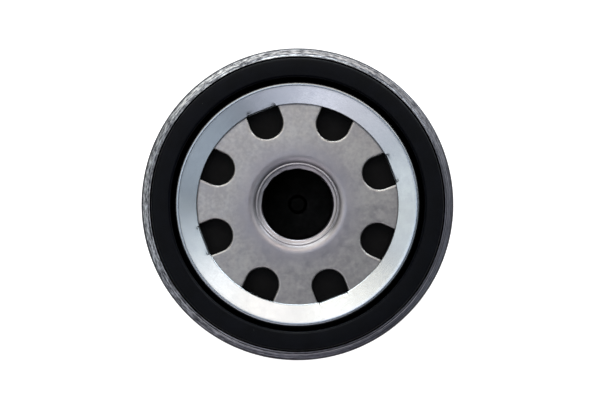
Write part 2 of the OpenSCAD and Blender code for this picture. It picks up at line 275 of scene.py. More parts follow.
# %% [markdown]
# ## Rubbers
#
# The gasket and the anti-drain diaphragm are moulded nitrile rubber. Moulded rubber is nearly
# black with a weak sheen, which carbon black keeps low, a faint bloom of lubricant, and a few
# specks of lint that its tacky surface has caught. The diaphragm is softer and a little greyer.

# %% Rubber finishes


def make_rubber(name, dark, pale, low, high, lint):
    rubber, tree, shader = finish_of(name, IOR=1.52, Specular_IOR_Level=0.1)
    point = add(tree, "TexCoord", output=3)
    bloom = add(tree, "TexNoise", Vector=point, Scale=1 / (4.0 * MM), Detail=3.0, Roughness=0.55)
    share = add(tree, "MapRange", {0: bloom, 1: 0.35, 2: 0.7})
    base = add(tree, "Mix", {0: share, 6: dark, 7: pale}, 2, data_type="RGBA")
    speck = add(tree, "TexVoronoi", Vector=point, Scale=1 / (4.2 * MM))
    fluff = add(tree, "MapRange", {0: speck, 1: 0.022, 2: 0.014, 3: 0, 4: lint})
    color = add(tree, "Mix", {0: fluff, 6: base, 7: "#8c8f8c"}, 2, data_type="RGBA")
    fine = add(tree, "TexNoise", Vector=point, Scale=1 / (0.9 * MM), Detail=3.0, Roughness=0.55)
    skin = add(tree, "MapRange", {0: fine, 1: 0.3, 2: 0.7, 3: low, 4: high})
    grain = add(tree, "TexNoise", Vector=point, Scale=1 / (0.22 * MM), Detail=4.0, Roughness=0.55)
    wear(tree, shader, color, skin, grain, 0.006)
    return rubber


gasket_rubber = make_rubber("moulded_nitrile_gasket", "#05070d", "#090c14", 0.40, 0.50, 0.8)
valve_rubber = make_rubber("moulded_nitrile_valve", "#0e0e10", "#151517", 0.50, 0.62, 0.0)
print("made", gasket_rubber.name, valve_rubber.name)

# %% [markdown]
# ## Stove enamel
#
# The can is deep-drawn steel, electrostatically sprayed with black enamel and baked. Baked enamel
# has a clear reflection broken up by orange peel: waves about 1.5 mm across and a few microns
# deep, drawn deeper here so that they show. Handling leaves a light haze in it.

# %% Enamel finish


def make_enamel():
    black, tree, shader = finish_of("stove_enamel_black", IOR=1.5, Specular_IOR_Level=0.32,
                                    Coat_Weight=0.2, Coat_Roughness=0.12)
    point = add(tree, "TexCoord", output=3)
    haze = add(tree, "TexNoise", Vector=point, Scale=1 / (9.0 * MM), Detail=3.0, Roughness=0.55)
    share = add(tree, "MapRange", {0: haze, 1: 0.35, 2: 0.7})
    color = add(tree, "Mix", {0: share, 6: "#0a0b0c", 7: "#101112"}, 2, data_type="RGBA")
    hands = add(tree, "TexNoise", Vector=point, Scale=1 / (3.0 * MM), Detail=5.0, Roughness=0.55)
    handled = add(tree, "MapRange", {0: hands, 1: 0.35, 2: 0.75, 3: 0.24, 4: 0.36})
    peel = add(tree, "TexNoise", Vector=point, Scale=1 / (1.5 * MM), Detail=1.0, Roughness=0.3)
    wear(tree, shader, color, handled, peel, 0.012)
    return black


enamel = make_enamel()
print("made", enamel.name)

# %% [markdown]
# ## Inner metals
#
# The end caps, the clip and the spring cup are bright tinplate, whose tin lies in faint crystals
# along the strip. The centre tube, the bypass seat and the cage are pressed from oiled black
# plate, which keeps its dark rolling skin. The springs are oil-tempered wire with draw lines, and
# the poppet is turned steel, blackened against rust. The black plate's and the poppet's dark
# colours are also painted shade, so the bore looks black from outside.

# %% Tinplate, black plate, wire and turned steel


def make_metal(name, dark, pale, blot, low, high, grain, depth, stretch=(1.0, 1.0, 1.0)):
    metal, tree, shader = finish_of(name, Metallic=1.0)
    point = add(tree, "TexCoord", output=3)
    drawn = add(tree, "Mapping", Vector=point, Scale=stretch)
    clouds = add(tree, "TexNoise", Vector=drawn, Scale=1 / (blot * MM), Detail=3.0, Roughness=0.55)
    share = add(tree, "MapRange", {0: clouds, 1: 0.35, 2: 0.65})
    color = add(tree, "Mix", {0: share, 6: dark, 7: pale}, 2, data_type="RGBA")
    fine = add(tree, "TexNoise", Vector=point, Scale=3 / (blot * MM), Detail=3.0, Roughness=0.55)
    satin = add(tree, "MapRange", {0: fine, 1: 0.3, 2: 0.7, 3: low, 4: high})
    bumps = add(tree, "TexNoise", Vector=drawn, Scale=1 / (grain * MM), Detail=4.0, Roughness=0.55)
    wear(tree, shader, color, satin, bumps, depth)
    return metal


tinplate = make_metal(
    "bright_tinplate", "#bdb9ad", "#cfccc2", 2.5, 0.24, 0.34, 0.3, 0.004, (1.0, 1.0, 0.25)
)
# Dark colour: partly the plate's own skin, partly painted shade in the bore
black_plate = make_metal("oiled_black_plate", "#2b2a28", "#373533", 2.5, 0.36, 0.48, 0.3, 0.004)
wire_steel = make_metal("oil_tempered_wire", "#56534f", "#75716b", 1.2, 0.32, 0.45, 0.15, 0.006)
# Dark colour: partly blackening, partly painted shade in the bore
turned_steel = make_metal("turned_steel", "#22211f", "#2e2c2a", 2.0, 0.36, 0.48, 0.2, 0.004)
print("made", tinplate.name, black_plate.name, wire_steel.name, turned_steel.name)

# %% [markdown]
# ## Paper, adhesive and compound
#
# The filter paper is cellulose, stiffened with a cured resin that turns it amber, with fibres a
# few millimetres long. The end-cap adhesive is plastisol, cast wet and cured to a soft matt
# skin. The seam compound dries to a dull brown rubbery film.

# %% Paper, plastisol and compound


def make_soft(name, dark, pale, blot, low, high, grain, depth, stretch=(1.0, 1.0, 1.0)):
    stuff, tree, shader = finish_of(name, IOR=1.5)
    point = add(tree, "TexCoord", output=3)
    laid = add(tree, "Mapping", Vector=point, Scale=stretch)
    blots = add(tree, "TexNoise", Vector=laid, Scale=1 / (blot * MM), Detail=6.0, Roughness=0.65)
    fibres = add(tree, "MapRange", {0: blots, 1: 0.35, 2: 0.65})
    color = add(tree, "Mix", {0: fibres, 6: dark, 7: pale}, 2, data_type="RGBA")
    skin = add(tree, "MapRange", {0: fibres, 1: 0, 2: 1, 3: low, 4: high})
    bumps = add(tree, "TexNoise", Vector=laid, Scale=1 / (grain * MM), Detail=5.0, Roughness=0.55)
    wear(tree, shader, color, skin, bumps, depth)
    return stuff


paper = make_soft(
    "resin_cured_paper", "#a8823f", "#c9a561", 1.2, 0.78, 0.92, 0.4, 0.03, (1.0, 1.0, 0.35)
)
plastisol = make_soft("cast_plastisol", "#8f3a26", "#a64a32", 3.0, 0.45, 0.60, 1.5, 0.03)
compound = make_soft("dried_seam_compound", "#3c362d", "#50483c", 1.0, 0.6, 0.75, 0.3, 0.01)
print("made", paper.name, plastisol.name, compound.name)

# %% [markdown]
# ## Drawing a section
#
# Nearly every piece here is a turned or pressed ring, so its shape is a section in radius and
# height. Three helpers draw one: `rounded` puts an arc on each corner, `arc` draws a bend, and
# `sheet` gives a bent line the thickness of its metal.

# %% Section helpers


def unit(vector):
    return vector / np.linalg.norm(vector)


def arc(centre, r, start, end, steps=10):
    """Points on an arc, with its angles in degrees."""
    angles = np.radians(np.linspace(start, end, steps + 1))
    return np.column_stack([centre[0] + r * np.cos(angles), centre[1] + r * np.sin(angles)])


def rounded(corners, closed=True, steps=5):
    """Corners as (radius, height, bend), each one replaced by an arc of that bend."""
    points = []
    count = len(corners)
    for i, (x, z, bend) in enumerate(corners):
        here = np.array([x, z], float)
        if bend == 0 or (not closed and i in (0, count - 1)):
            points.append(here[None])
            continue
        back = unit(np.array(corners[i - 1][:2]) - here)
        ahead = unit(np.array(corners[(i + 1) % count][:2]) - here)
        half = math.acos(float(np.clip(back @ ahead, -1, 1))) / 2
        centre = here + unit(back + ahead) * bend / math.sin(half)
        first = here + back * bend / math.tan(half) - centre
        last = here + ahead * bend / math.tan(half) - centre
        a = math.degrees(math.atan2(first[1], first[0]))
        turn = math.degrees(math.atan2(last[1], last[0])) - a
        turn = (turn + 180) % 360 - 180
        points.append(arc(centre, bend, a, a + turn, steps))
    return np.vstack(points)


def shifted(path, distance):
    """The path moved to its left by a distance, with mitred corners."""
    steps = np.diff(path, axis=0)
    steps = steps / np.linalg.norm(steps, axis=1)[:, None]
    before = np.vstack([steps[:1], steps])
    after = np.vstack([steps, steps[-1:]])
    left = np.column_stack([-(before + after)[:, 1], (before + after)[:, 0]])
    return path + distance * left / (1 + (before * after).sum(1))[:, None]


def sheet(path, thickness):
    """Outline of a bent sheet: its left side out, then its right side back, edges eased."""
    half = thickness / 2
    ease = 0.15 * thickness
    inset = np.array(path)
    inset[0] += unit(inset[1] - inset[0]) * ease
    inset[-1] += unit(inset[-2] - inset[-1]) * ease
    left = shifted(inset, half)
    right = shifted(inset, -half)
    ends = [shifted(path, side * (half - ease))[i] for i, side in ((-1, 1), (-1, -1), (0, -1), (0, 1))]
    return np.vstack([left, ends[:2], right[::-1], ends[2:]])


print("a sheet of", len(sheet(arc((0, 0), 5, 0, 90), 0.5)), "points for a quarter bend")

# %% [markdown]
# ## Turning a section into a mesh
#
# A spin or screw modifier could turn the sections too. Here the points are computed, because
# several pieces also change along the circle: tabs, flats, notches and a real helical thread.
# `grid` makes quads between neighbouring points, and `piece` welds the parts together, faces them
# outward, hides the part it stands for and, unless it is given two ends, rides the result on that
# part's body.

# %% Mesh helpers


def grid(points, wrap_rows=False, wrap_columns=False):
    """An array of points (rows, columns, 3) as a list of points and the quads between them."""
    rows, columns = points.shape[:2]
    ids = np.arange(rows * columns).reshape(rows, columns)
    if wrap_rows:
        ids = np.vstack([ids, ids[:1]])
    if wrap_columns:
        ids = np.hstack([ids, ids[:, :1]])
    quads = np.stack([ids[:-1, :-1], ids[1:, :-1], ids[1:, 1:], ids[:-1, 1:]], -1)
    return points.reshape(-1, 3), quads.reshape(-1, 4)


def swept(line, angles):
    """A line of (radius, height) points carried round the axis to each angle."""
    r, z = np.asarray(line, float).T
    cos, sin = np.cos(angles)[:, None], np.sin(angles)[:, None]
    return np.stack([cos * r, sin * r, np.ones((len(angles), 1)) * z], -1)


def turned(outline, steps, shape=None):
    """A closed section turned round the axis; shape may move the points afterwards."""
    points = swept(outline, np.linspace(0, 2 * np.pi, steps, endpoint=False))
    if shape:
        points = shape(points)
    return grid(points, wrap_rows=True, wrap_columns=True)


def piece(name, parts, node, finish, between=None, sharp=38):
    """One mesh from several grids, dressed, riding on the body of the part it stands for unless given
    two ends.
    """
    points, faces, start = [], [], 0
    for part_points, part_faces in parts:
        points.append(part_points)
        faces.append(part_faces + start)
        start += len(part_points)
    mesh = bpy.data.meshes.new(name)
    mesh.from_pydata((np.vstack(points) * MM).tolist(), [], np.vstack(faces).tolist())
    work = bmesh.new()
    work.from_mesh(mesh)
    bmesh.ops.remove_doubles(work, verts=work.verts, dist=0.002 * MM)
    bmesh.ops.dissolve_degenerate(work, edges=work.edges, dist=0.001 * MM)
    bmesh.ops.recalc_face_normals(work, faces=work.faces)
    open_edges = sum(not edge.is_manifold for edge in work.edges)
    work.to_mesh(mesh)
    work.free()
    mesh.shade_smooth()
    mesh.set_sharp_from_angle(angle=math.radians(sharp))
    mesh.materials.append(finish)
    made = bpy.data.objects.new(name, mesh)
    bpy.context.scene.collection.objects.link(made)
    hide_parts(node)
    if between:
        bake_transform(made)
    else:
        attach(made, nodes[node]["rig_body"])
    print(f"{name}: {len(mesh.polygons)} faces, {open_edges} loose edges")
    return made


def level(z):
    """A point on the axis, for naming where a blend starts and ends."""
    return (0, 0, z * MM)


# %% [markdown]
# ## The gasket
#
# A square-cut ring would look like a washer. The moulded gasket has soft corners, a top face that
# crowns very slightly, and a fine parting line on its inner top edge where the mould's halves
# met. It fills the groove and stands proud of the seam, because it seals on the engine.

# %% Gasket


def make_gasket():
    inner = gasket_r - 4.5
    section = rounded(
        [(inner, groove, 0.4), (gasket_r, groove, 0.4), (gasket_r, top - 0.06, 0.55),
         ((inner + gasket_r) / 2, top, 0), (inner + 0.42, top - 0.05, 0.12),
         (inner + 0.34, top - 0.16, 0.06), (inner, top - 0.34, 0.3)], steps=6)
    return piece("gasket_ring", [turned(section, 360)], "gasket", gasket_rubber)


make_gasket()

# %% [markdown]
# ## The lid
#
# One pressing does three jobs: its ring holds the plate down, its groove holds the gasket, and
# its edge is rolled into the can's edge as a double seam. Most of it is a turned section. The
# opening in the middle is not round, though: four tabs are bent down into the plate's inlets,
# each beside two small relief cuts. So the turned part stops at a joining circle, and the
# zone inside that circle is made of strips whose columns spread with the tabs and the cuts.

# %% Lid section
LID_T = 0.45
JOIN_R = 25.25
RING_R = 24.5
TAB_W = 3.6
CUT_W = 3.75
TAB_FACE = 24.2
TAB_TURN = 21
TAB_BEND = 0.5
TAB_END = 86.3
ROLLED_FROM = 88.6
CHUCK_R = 36.035
SEAM_BEND = 0.87
HOOK_BEND = 0.435
SEAM_MID = CHUCK_R + SEAM_BEND
slope = math.radians(15)
bend_z = seam_top - LID_T / 2 - SEAM_BEND


def cone(x):
    """Height of the middle of the ring's sheet at a radius."""
    return plate_top + 0.02 + LID_T / 2 / math.cos(slope) + (x - RING_R) * math.tan(slope)


def lid_path():
    """Middle of the lid's sheet before the seam's top bend, at the bend, and after it."""
    wall = 30.22
    floor = groove - LID_T / 2
    crest = 1.05
    crest_r = wall - crest * (1 + math.sin(slope))
    crest_z = cone(crest_r) - crest * math.cos(slope)
    hook_z = seam_low + LID_T / 2 + HOOK_BEND
    rise = np.linspace(JOIN_R, crest_r, 7)[:-1]
    before = np.vstack([
        np.column_stack([rise, [cone(x) for x in rise]]),
        arc((wall - crest, crest_z), crest, 105, 0, 12),
        arc((wall + 0.8, floor + 0.8), 0.8, 180, 270, 6),
        arc((CHUCK_R - 0.8, floor + 0.8), 0.8, 270, 360, 6),
    ])
    bend = arc((SEAM_MID, bend_z), SEAM_BEND, 180, 0, 16)
    hook = arc((SEAM_MID + HOOK_BEND, hook_z), HOOK_BEND, 0, -180, 8)
    after = np.vstack([hook, [[SEAM_MID, bend_z - 0.75]]])
    return before, bend, after


def seam_crown():
    """Top of the seam: a tight inner lip, a crease beside it, and a crown that leans outwards."""
    lip = CHUCK_R - LID_T / 2
    shape = rounded([(lip, bend_z, 0), (lip, seam_top, 0.2), (37.8, seam_top - 0.5, 0.5),
                     (seam_r, bend_z, 0)], closed=False, steps=8)
    # Closer points beside the lip keep the crease smooth
    r = np.linspace(36.12, 37.15, 22)
    close = np.column_stack([r, np.interp(r, *shape.T)])
    line = np.vstack([shape[shape[:, 0] <= 36.1], close, shape[shape[:, 0] >= 37.2]])
    crease = 0.09 * np.exp(-(((line[:, 0] - 36.42) / 0.12) ** 2))
    line[:, 1] -= np.where(line[:, 1] > bend_z + 0.5, crease, 0)
    return line


def lid_section():
    """The whole section of the turned part, open at the joining circle."""
    before, bend, after = lid_path()
    path = np.vstack([before, bend, after])
    upper, lower = shifted(path, LID_T / 2), shifted(path, -LID_T / 2)
    start, end = len(before), len(before) + len(bend)
    upper = np.vstack([upper[:start], seam_crown(), upper[end:]])
    return np.vstack([upper, lower[::-1]])


def roller_waves(points):
    """Slow waves that the seaming rollers leave round the outer edge, a few hundredths deep."""
    x, y, z = np.moveaxis(points, -1, 0)
    angle = np.arctan2(y, x)
    in_seam = np.clip((np.hypot(x, y) - 36.3) / 0.6, 0, 1) * np.clip((z - ROLLED_FROM) / 0.6, 0, 1)
    wave = sum(
        size * np.sin(n * angle + shift)
        for n, size, shift in ((7, 0.4, 0.3), (23, 0.3, 1.7), (61, 0.35, 0.9), (97, 0.25, 2.2))
    )
    points[..., 2] -= in_seam * 0.012 * (1 + wave)
    points[..., :2] *= (1 - in_seam * 0.0002 * (1 + wave))[..., None]
    return points


# %% [markdown]
# The columns of one quarter go: tab, relief cut, plain ring, relief cut. At the joining circle
# both zones share the same angles, so that their points weld.

# %% Lid mesh


def lid_columns():
    """Angles at the joining circle for one quarter: where each of its four zones runs."""
    tab = math.degrees(math.asin(TAB_W / JOIN_R))
    cut = math.degrees(math.asin(CUT_W / JOIN_R))
    return (
        np.linspace(-tab, tab, 21),
        np.linspace(tab, cut, 3),
        np.linspace(cut, 90 - cut, 101),
        np.linspace(90 - cut, 90 - tab, 3),
    )


def at(angle, r):
    return np.array([r * math.cos(math.radians(angle)), r * math.sin(math.radians(angle))])


def with_sides(points, half):
    """A strip's grid, closed at both ends by ladders between its upper and lower rows."""
    parts = [grid(points)]
    for end in (0, -1):
        upper = points[end, :half]
        lower = points[end, ::-1][:half]
        parts.append(grid(np.stack([upper, lower])))
    return parts


def lid_inner(turn):
    """One quarter of the inner zone: the ring's edge between the cuts, and the tab."""
    tab, _, plain, _ = lid_columns()
    upper_edge = [(0.0, 0.5), (0.3, 0.5), (0.55, 0.5), (0.75, 0.5), (0.9, 0.4), (1.0, 0.1)]
    rows = upper_edge + [(s, -side) for s, side in reversed(upper_edge)]
    strip = np.zeros((len(plain), len(rows), 3))
    for i, share in enumerate(np.linspace(0, 1, len(plain))):
        for j, (inward, side) in enumerate(rows):
            r = JOIN_R + (RING_R - JOIN_R) * inward
            edge = math.degrees(math.asin(CUT_W / r))
            spot = at(turn + edge + share * (90 - 2 * edge), r - side * LID_T * math.sin(slope))
            strip[i, j] = (*spot, cone(r) + side * LID_T * math.cos(slope))
    parts = with_sides(strip, len(upper_edge))
    begin = TAB_FACE + LID_T / 2 + TAB_BEND * (1 - math.sin(slope))
    centre = np.array([TAB_FACE + LID_T / 2 + TAB_BEND, cone(begin) - TAB_BEND * math.cos(slope)])
    bend = arc(centre, TAB_BEND, 105, 180, 9)
    leg = np.column_stack([np.full(5, TAB_FACE + LID_T / 2), np.linspace(centre[1], TAB_END, 6)[1:]])
    middle = np.vstack([[(begin + 0.1, cone(begin + 0.1))], bend, leg])
    upper = shifted(middle, -LID_T / 2)
    lower = shifted(middle, LID_T / 2)
    upper[-1, 1] = lower[-1, 1] = TAB_END
    count = len(middle) + 1
    flap = np.zeros((len(tab), 2 * count, 3))
    out, up = math.cos(math.radians(turn)), math.sin(math.radians(turn))
    for i, angle in enumerate(tab):
        for side, line in ((0.5, upper), (-0.5, lower)):
            r = JOIN_R - side * LID_T * math.sin(slope)
            x, y = at(angle, r)
            first = (x, cone(JOIN_R) + side * LID_T * math.cos(slope))
            run = np.vstack([[first], line])
            world = np.column_stack([run[:, 0] * out - y * up, run[:, 0] * up + y * out, run[:, 1]])
            flap[i, slice(0, count) if side > 0 else slice(2 * count - 1, count - 1, -1)] = world
    return parts + with_sides(flap, count)


def make_lid():
    section = lid_section()
    tab, cut, plain, last = lid_columns()
    quarter = np.concatenate([tab[:-1], cut[:-1], plain[:-1], last[:-1]])
    angles = np.radians(np.concatenate([quarter + TAB_TURN + 90 * k for k in range(4)]))
    parts = [grid(roller_waves(swept(section, angles)), wrap_rows=True)]
    for k in range(4):
        parts += lid_inner(TAB_TURN + 90 * k)
        # Each relief cut ends at the joining circle, in a wall through the sheet
        for ends in (cut, last):
            parts.append(grid(swept(section[[0, -1]], np.radians(ends + TAB_TURN + 90 * k))))
    return piece("seamed_lid", parts, "seaming_lid", zinc)


make_lid()

# %% [markdown]
# ## The tapping plate
#
# The plate is blanked with eight inlets open towards its rim, and its middle is drawn down into a
# neck and tapped. Cutting the inlets with a boolean would leave long thin faces that shade badly
# on a satin surface. Each inlet gets its own eighth of the plate instead: a mesh that starts at
# the inlet's wall, rolls over its stamped edge and spreads out to the eighth's border. A stamped
# edge is rolled on the punch's side, which is what catches the light round every inlet. The plate
# is also very slightly crowned, since the press leaves it so.

# %% Plate sizes
INLET_HALF = 8.15 / 2
INLET_R = 21.4
PLATE_T = 3.0
DRAW_R = 12.33
ROLL_W = 0.5
ROLL_H = 0.3
plate_low = plate_top - PLATE_T


def crown(r):
    """How far the plate's top falls away towards its rim."""
    return 0.62 * np.clip((r**2 - DRAW_R**2) / 29.0**2, 0, None)


def inlet_line(offset, turn):
    """The inlet's outline grown by an offset: in along one side, round the end, and out again."""
    half = INLET_HALF + offset
    start = math.sqrt(plate_r**2 - half**2)
    straight = np.linspace(start, INLET_R, 11)[:-1]
    side = np.column_stack([straight, np.full(10, half)])
    end = arc((INLET_R, 0), half, 90, 270, 36)
    line = np.vstack([side, end, side[::-1] * (1, -1)])
    return np.hypot(*line.T), np.degrees(np.arctan2(line[:, 1], line[:, 0])) + turn


def border_line(inner_r, turn):
    """The border of an eighth of the plate, with as many points as the inlet's outline."""
    side = np.linspace(plate_r, inner_r, 11)[:-1]
    r = np.concatenate([side, np.full(37, inner_r), side[::-1]])
    angle = np.concatenate([np.full(10, 22.5), np.linspace(22.5, -22.5, 37), np.full(10, -22.5)])
    return r, angle + turn


def plate_eighth(turn):
    """Rows from the lower border, up the inlet's wall and over its edge, to the upper border."""
    rows = []

    def row(r, angle, z):
        a = np.radians(angle)
        rows.append(np.column_stack([r * np.cos(a), r * np.sin(a), z]))

    def spread_rows(inner_r, offset, shares, height):
        near, far = inlet_line(offset, turn), border_line(inner_r, turn)
        for share in shares:
            r = near[0] + (far[0] - near[0]) * share
            row(r, near[1] + (far[1] - near[1]) * share, height(r))

    shares = np.array([0.0, 0.06, 0.14, 0.25, 0.4, 0.55, 0.7, 0.85, 1.0])
    spread_rows(11.8, ROLL_W, shares[::-1], lambda r: np.full(len(r), plate_low))
    for offset, z in ((ROLL_W / 2, plate_low), (0.06, plate_low), (0, plate_low + 0.06)):
        r, angle = inlet_line(offset, turn)
        row(r, angle, np.full(len(r), z))
    for share in (0.3, 0.6, 1.0):
        r, angle = inlet_line(0, turn)
        row(r, angle, plate_low + share * (PLATE_T - ROLL_H - crown(r)))
    for bend in np.radians([15, 30, 45, 60, 75]):
        r, angle = inlet_line(ROLL_W * (1 - math.cos(bend)), turn)
        row(r, angle, plate_top - crown(r) - ROLL_H * (1 - math.sin(bend)))
    spread_rows(DRAW_R, ROLL_W, shares, lambda r: plate_top - crown(r))
    points = np.stack(rows)
    sides = []
    half = (len(rows) + 1) // 2
    for column in (0, -1):
        lower = points[:half, column]
        upper = points[::-1][:half, column]
        sides.append(grid(np.stack([lower, upper])))
    return [grid(points), *sides]


# %% [markdown]
# The thread is a real 3/4-16 one. Rows of points that follow the helix keep its flanks smooth,
# because no row crosses a flank. Rows that would run past the neck's ends are held there. At the
# mouth the thread runs out under a turned lip, and at the foot a chamfer takes over where it is
# wider than the thread.

# %% Draw-in, thread and neck
PITCH = 25.4 / 16
MINOR_R = 8.73
MAJOR_R = 9.525
THREAD_ROWS = 16
MOUTH = 0.76
LIP_R = 8.95


def thread_r(phase):
    """Radius of the tapped thread through one pitch: crest, flank, root, flank."""
    radii = [MINOR_R, MINOR_R, MAJOR_R, MAJOR_R, MINOR_R, MINOR_R]
    return np.interp(phase % 1, [0, 0.22, 0.53, 0.65, 0.96, 1], radii)


def tapped_hole(steps):
    low, high = neck_low, plate_top - MOUTH
    turns = np.arange(steps + 1) / steps
    count = int((high - low) / PITCH * THREAD_ROWS) + 2 * THREAD_ROWS + 2
    k = np.arange(count)[None, :] - THREAD_ROWS
    height = low + (k + THREAD_ROWS * turns[:, None]) * PITCH / THREAD_ROWS
    phase = np.broadcast_to(k / THREAD_ROWS, height.shape)
    z = np.clip(height, low, high)
    r = thread_r(phase)
    r = np.minimum(r, LIP_R + 2.4 * (high - z))
    chamfer = np.maximum(LIP_R - 4.5 * (high - z), MAJOR_R + 0.03 - (z - low))
    r = np.maximum(r, chamfer)
    a = (2 * np.pi * turns + math.radians(TAB_TURN - 22.5))[:, None]
    return grid(np.stack([r * np.cos(a), r * np.sin(a), z], -1))


def make_plate():
    steps = 36 * 8
    parts = [part for k in range(8) for part in plate_eighth(TAB_TURN + 45 * k)]
    # From the plate's top the metal curves in and down to a fine groove and a rounded crest
    t = np.linspace(0, 1, 16)
    draw = np.column_stack([DRAW_R - (DRAW_R - 10.25) * t, plate_top - 0.5 * t**2.4])
    groove_z = draw[-1, 1]
    crest = [(10.15, groove_z - 0.05), (10.08, groove_z - 0.06), (10.02, groove_z - 0.03),
             (9.97, groove_z), (9.9, groove_z), (9.8, groove_z - 0.025), (9.7, groove_z - 0.06),
             (9.63, groove_z - 0.11), (9.56, groove_z - 0.155), (LIP_R, plate_top - MOUTH)]
    top_line = np.vstack([draw, crest])
    neck_r = 11.2
    neck = rounded([(9.6, neck_low, 0), (neck_r, neck_low, 0.4), (neck_r, plate_low, 0)], closed=False)
    under = arc((neck_r + 0.6, plate_low - 0.6), 0.6, 180, 90, 6)
    bottom = np.vstack([[(MAJOR_R + 0.03, neck_low)], neck[:-1], under])
    angles = np.radians(TAB_TURN - 22.5 + 360 * np.arange(steps + 1) / steps)
    parts += [grid(swept(line, angles)) for line in (top_line, bottom)]
    parts.append(tapped_hole(steps))
    return piece("tapping_plate", parts, "base_plate", plate_steel, sharp=50)


make_plate()

# %% [markdown]
# ## The can
#
# The can is one deep drawing: a recessed end to stiffen it, a foot ring to stand on, a wide
# corner, flats for a cap wrench that fade out up the wall, and a top edge curled into the seam.
# A turned section gives all of it but the flats. Each flat is a leaning plane, and every point
# further out than the plane is drawn in to it, with a soft limit so that the facets run into
# the wall as pressed metal does, without a crease.

# %% Can
CAN_T = 0.38
FLATS = 15
FLAT_R = 35.9
FLAT_Z = 9.0
FLAT_LEAN = math.tan(math.radians(4))


def soft_least(a, b, width):
    """The lesser of two distances, blended over a width round the place where they cross."""
    h = np.clip(0.5 + 0.5 * (b - a) / width, 0, 1)
    return b + (a - b) * h - width * h * (1 - h)


def press_flats(points):
    x, y, z = np.moveaxis(points, -1, 0)
    r, angle = np.hypot(x, y), np.arctan2(y, x)
    step = 2 * np.pi / FLATS
    off = (angle + step / 2) % step - step / 2
    plane = (FLAT_R + (z - FLAT_Z) * FLAT_LEAN) / np.cos(off)
    inside = np.arange(points.shape[1]) >= points.shape[1] // 2
    plane = plane - inside[None, :] * CAN_T
    pressed = np.where((r > 20) & (z < 24), soft_least(r, plane, 0.35), r)
    scale = np.where(r > 1e-6, np.minimum(pressed, r) / np.maximum(r, 1e-6), 1)
    points[..., 0] *= scale
    points[..., 1] *= scale
    return points


def make_can():
    wall = 36.47
    foot = CAN_T / 2
    end = rounded([(0.02, 1.2 + foot, 0), (11.6, 1.2 + foot, 1.2), (14.0, foot, 1.2), (20.0, foot, 0)],
                  closed=False, steps=6)
    path = np.vstack([
        end, arc((wall - 8, 8 + foot), 8, -90, 0, 24),
        np.column_stack([np.full(24, wall), np.linspace(8.9, 24, 24)]),
        np.column_stack([np.full(6, wall), np.linspace(34, 88, 6)]),
        arc((SEAM_MID, bend_z - 0.5), HOOK_BEND, 180, 0, 10),
        [[SEAM_MID + HOOK_BEND, seam_low + 0.91]],
    ])
    section = np.vstack([shifted(path, -CAN_T / 2), shifted(path, CAN_T / 2)[::-1]])
    section[:, 0] = np.maximum(section[:, 0], 0.0)
    return piece("can_shell", [turned(section, FLATS * 32, press_flats)], "can", enamel)


make_can()

# %% [markdown]
# ## The drain valve
#
# Under the plate lies a moulded rubber diaphragm. Its thick collar grips the neck and seals on
# the element's top cap; its dish reaches out to a thin lip that closes on the lid, so that oil
# stays in the filter when the engine stops. The real lip bends as it lifts; the mesh is given the
# housing and the lip's body as its two ends, but it stays fixed and rides on neither.

# %% Drain valve


def make_valve():
    tip_r, low, tip_z = reach("drain_valve")
    section = rounded(
        [(11.25, low, 0.15), (13.0, low, 0.15), (13.0, 80.5, 0.1), (15.2, 80.5, 0.15), (15.2, 82.9, 0.4),
         (27.45, 82.7, 1.0), (31.2, 85.5, 1.0), (tip_r, tip_z - 0.4, 0.12), (tip_r, tip_z, 0.1),
         (32.2, tip_z, 0.3), (30.5, 86.2, 0.8), (27.15, 84.0, 1.0), (24.6, 84.05, 0.1),
         (24.5, 84.2, 0.08), (23.9, 84.2, 0.08), (23.8, 84.1, 0.1), (15.2, 84.3, 0.5),
         (14.6, 85.6, 0.15), (13.3, 85.6, 0.05), (13.15, 85.45, 0.05), (12.85, 85.45, 0.05),
         (12.7, 85.6, 0.05), (11.95, 85.6, 0.1), (11.25, 85.0, 0.15)])
    ends = ("housing", "valve_lip", level(84.5), level(87.5))
    part = turned(section, 300)
    return piece("drain_diaphragm", [part], "drain_valve", valve_rubber, ends)


make_valve()

# %% [markdown]
# ## The element's caps
#
# Two pressed end caps close the pleated paper. Shallow beads stiffen such thin discs, and a real
# one always has them, so the path of each sheet rises over two.

# %% End caps
CAP_T = 0.5


def bead(r, z, rise, width=1.4):
    """A stiffening bead in a flat sheet, as path points."""
    share = np.linspace(-1, 1, 9)
    return np.column_stack([r + share * width, z + rise * (0.5 + 0.5 * np.cos(np.pi * share))])


def make_caps():
    r, _, cap_top = reach("element_top_cap")
    z = cap_top - CAP_T / 2
    path = np.vstack([
        [[13.3, z - 2.0]], arc((13.9, z - 0.6), 0.6, 180, 90, 6), bead(19.0, z, 0.45),
        bead(25.5, z, 0.45), arc((r - CAP_T / 2 - 0.6, z - 0.6), 0.6, 90, 0, 6),
        [[r - CAP_T / 2, z - 4.0]],
    ])
    piece("top_end_cap", [turned(sheet(path, CAP_T), 240)], "element_top_cap", tinplate)
    r, cap_low, _ = reach("element_bottom_cap")
    z = cap_low + CAP_T / 2
    path = np.vstack([
        [[10.0, z]], bead(22.5, z, -0.45), bead(27.5, z, -0.45),
        arc((r - CAP_T / 2 - 0.6, z + 0.6), 0.6, -90, 0, 6), [[r - CAP_T / 2, z + 4.0]],
    ])
    piece("bottom_end_cap", [turned(sheet(path, CAP_T), 240)], "element_bottom_cap", tinplate)


make_caps()

# %% [markdown]
# ## The pleated paper
#
# The paper is one long strip folded 54 times and closed into a ring. Its folds are rounded, since
# resin-treated paper cracks if it is creased sharply. A real strip's long faces are pressed with
# fine waves that keep the pleats apart; here they are left flat. The strip's section is a path of
# rounded corners, given the paper's thickness and drawn up along the axis.

# %% Pleats
PLEATS = 54
PAPER_T = 0.5


